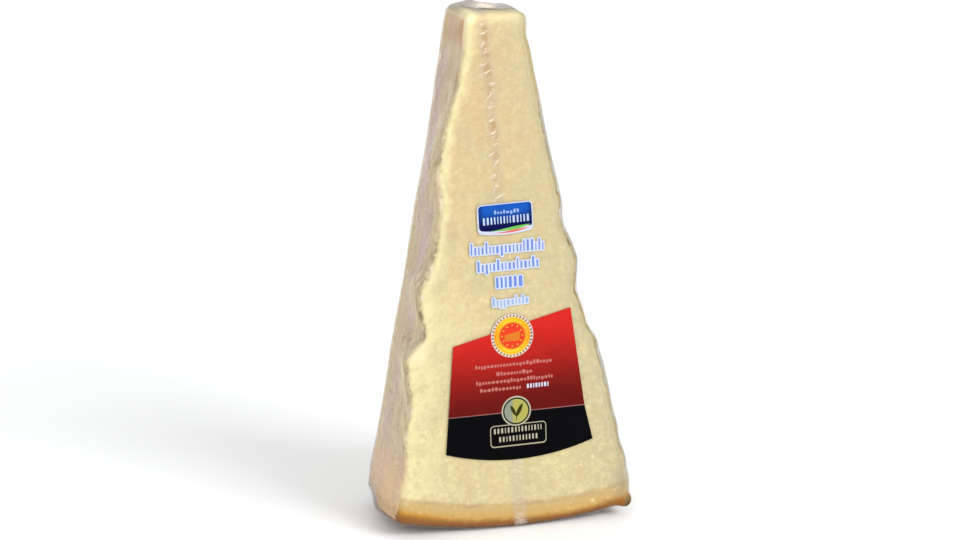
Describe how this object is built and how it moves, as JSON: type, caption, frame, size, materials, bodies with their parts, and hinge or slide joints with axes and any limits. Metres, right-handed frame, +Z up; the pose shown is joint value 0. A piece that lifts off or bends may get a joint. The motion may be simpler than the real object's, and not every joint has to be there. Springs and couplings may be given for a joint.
{
  "type": "wrapped cheese wedge",
  "caption": "Tall wedge of hard grating cheese, shrink-wrapped in clear film with stickers on its front, standing on its curved rind.",
  "frame": {"origin": "on the ground, at the middle of the bounding box's underside, below the rind's flat spot", "axes": "+X to the right of someone facing the labelled front, +Y to the back, +Z up from the rind to the narrow tip"},
  "size_m": [0.1045, 0.0498, 0.2144],
  "materials": {
    "cheese_in_film": "glossy",
    "label_print": "glossy",
    "badge_print": "glossy",
    "seal_print": "glossy"
  },
  "bodies": {
    "root": {"wrapped_wedge": "cheese_in_film", "front_label": "label_print", "badge_label": "badge_print", "round_seal": "seal_print"}
  },
  "joints": []
}
